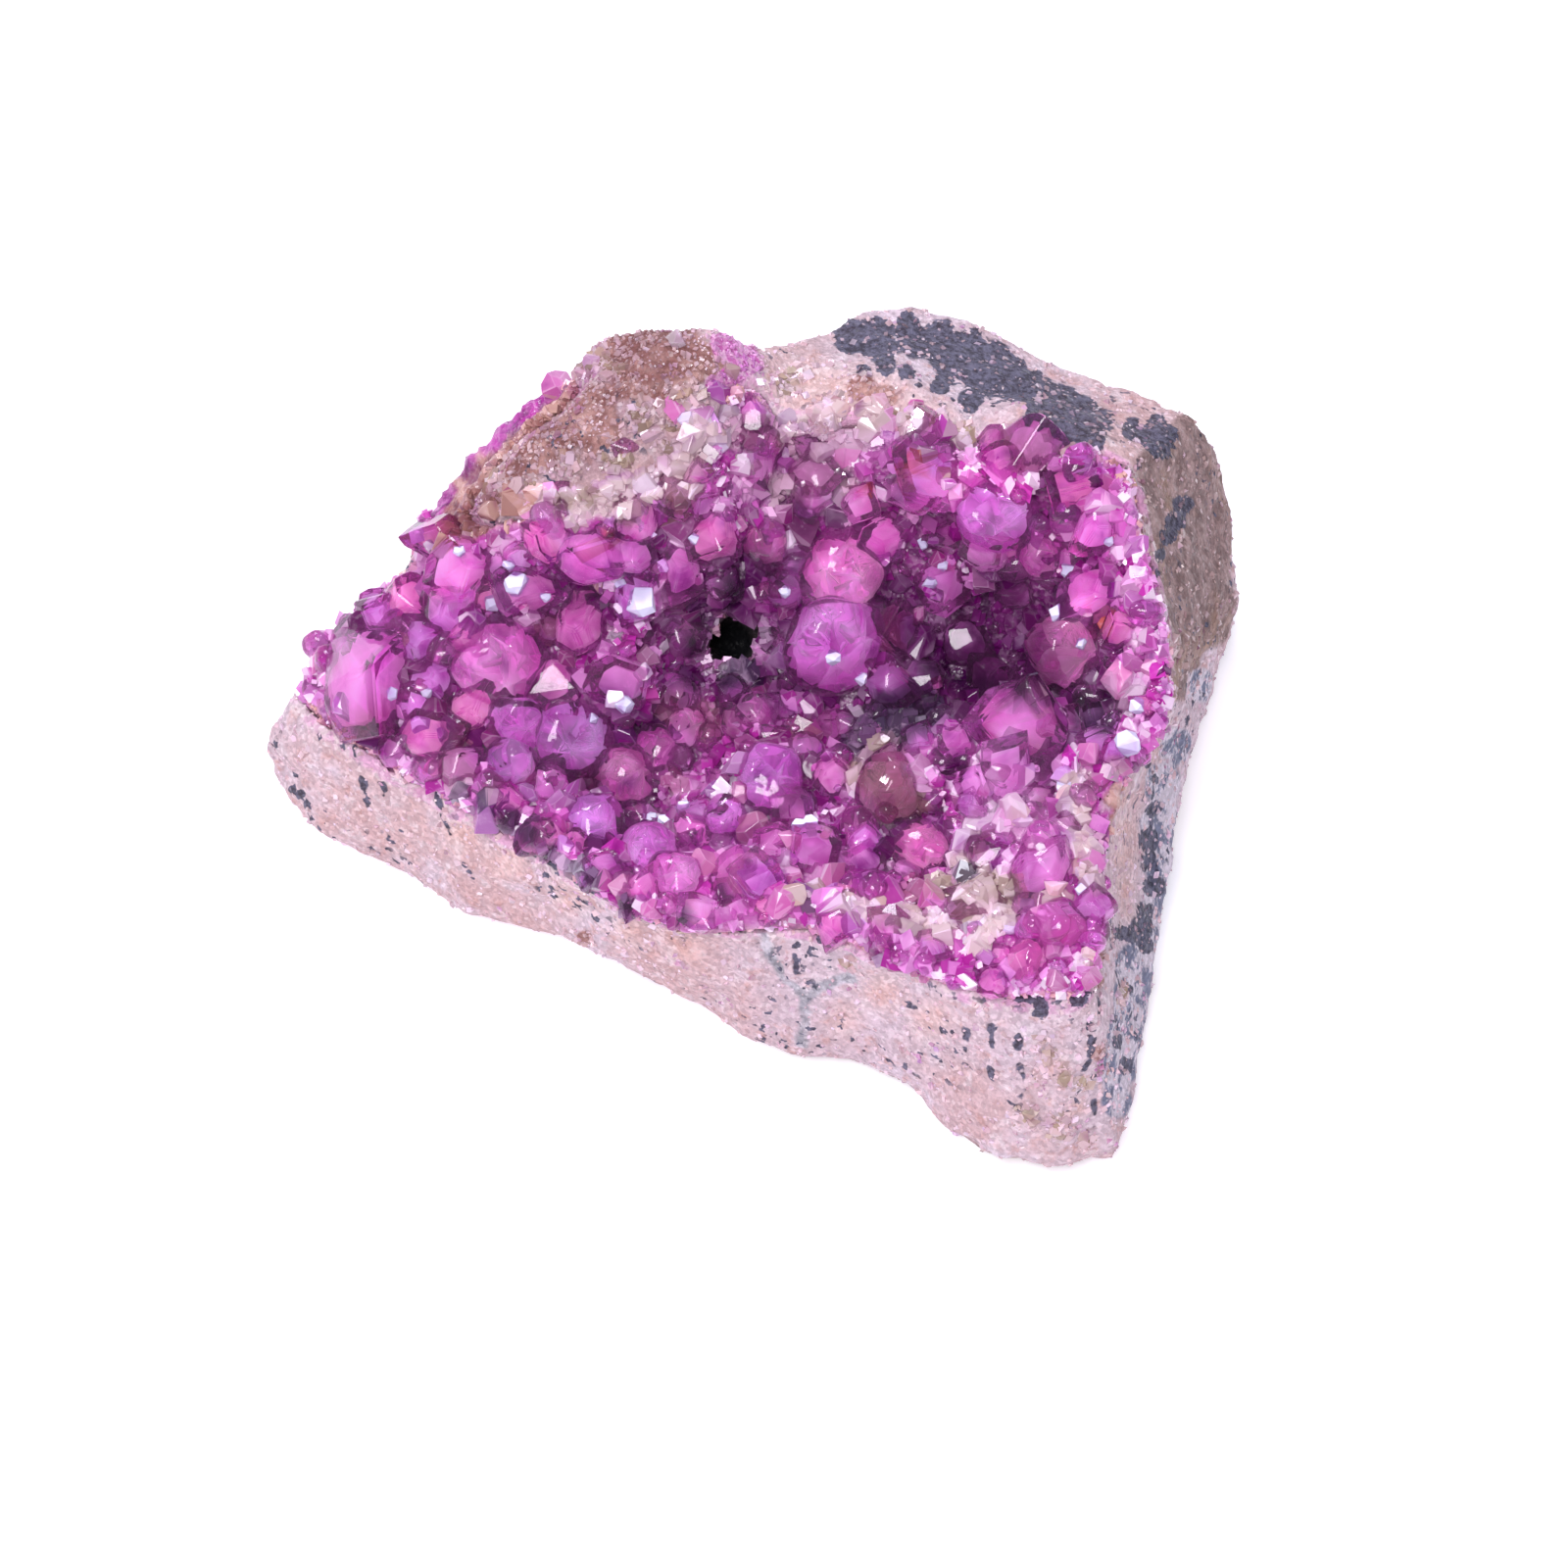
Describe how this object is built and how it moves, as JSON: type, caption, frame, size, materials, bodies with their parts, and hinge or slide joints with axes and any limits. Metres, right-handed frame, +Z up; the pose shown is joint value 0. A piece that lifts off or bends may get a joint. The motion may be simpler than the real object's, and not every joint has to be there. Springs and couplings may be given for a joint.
{
  "type": "cobaltoan calcite specimen",
  "caption": "Broken block of sugary salmon-pink host rock with an open hollow lined by a crust of rounded, see-through magenta calcite crystals.",
  "frame": {"origin": "centre of the bounding box in plan, on the flat resting face", "axes": "+Z up out of the hollow, +X towards the steep end wall, and -Y towards the low front rim"},
  "size_m": [0.0617, 0.0559, 0.027],
  "materials": {
    "host_rock": "rough, sugary salmon-pink rock with black mineral specks and thin dark cracks, grey-brown on its weathered faces",
    "pink_calcite": "glassy, clear to milky magenta calcite, paler pink on broken edges and deep purple in the gaps"
  },
  "bodies": {
    "root": {"host_rock": "host_rock", "crystal_crust": "pink_calcite"}
  },
  "joints": []
}
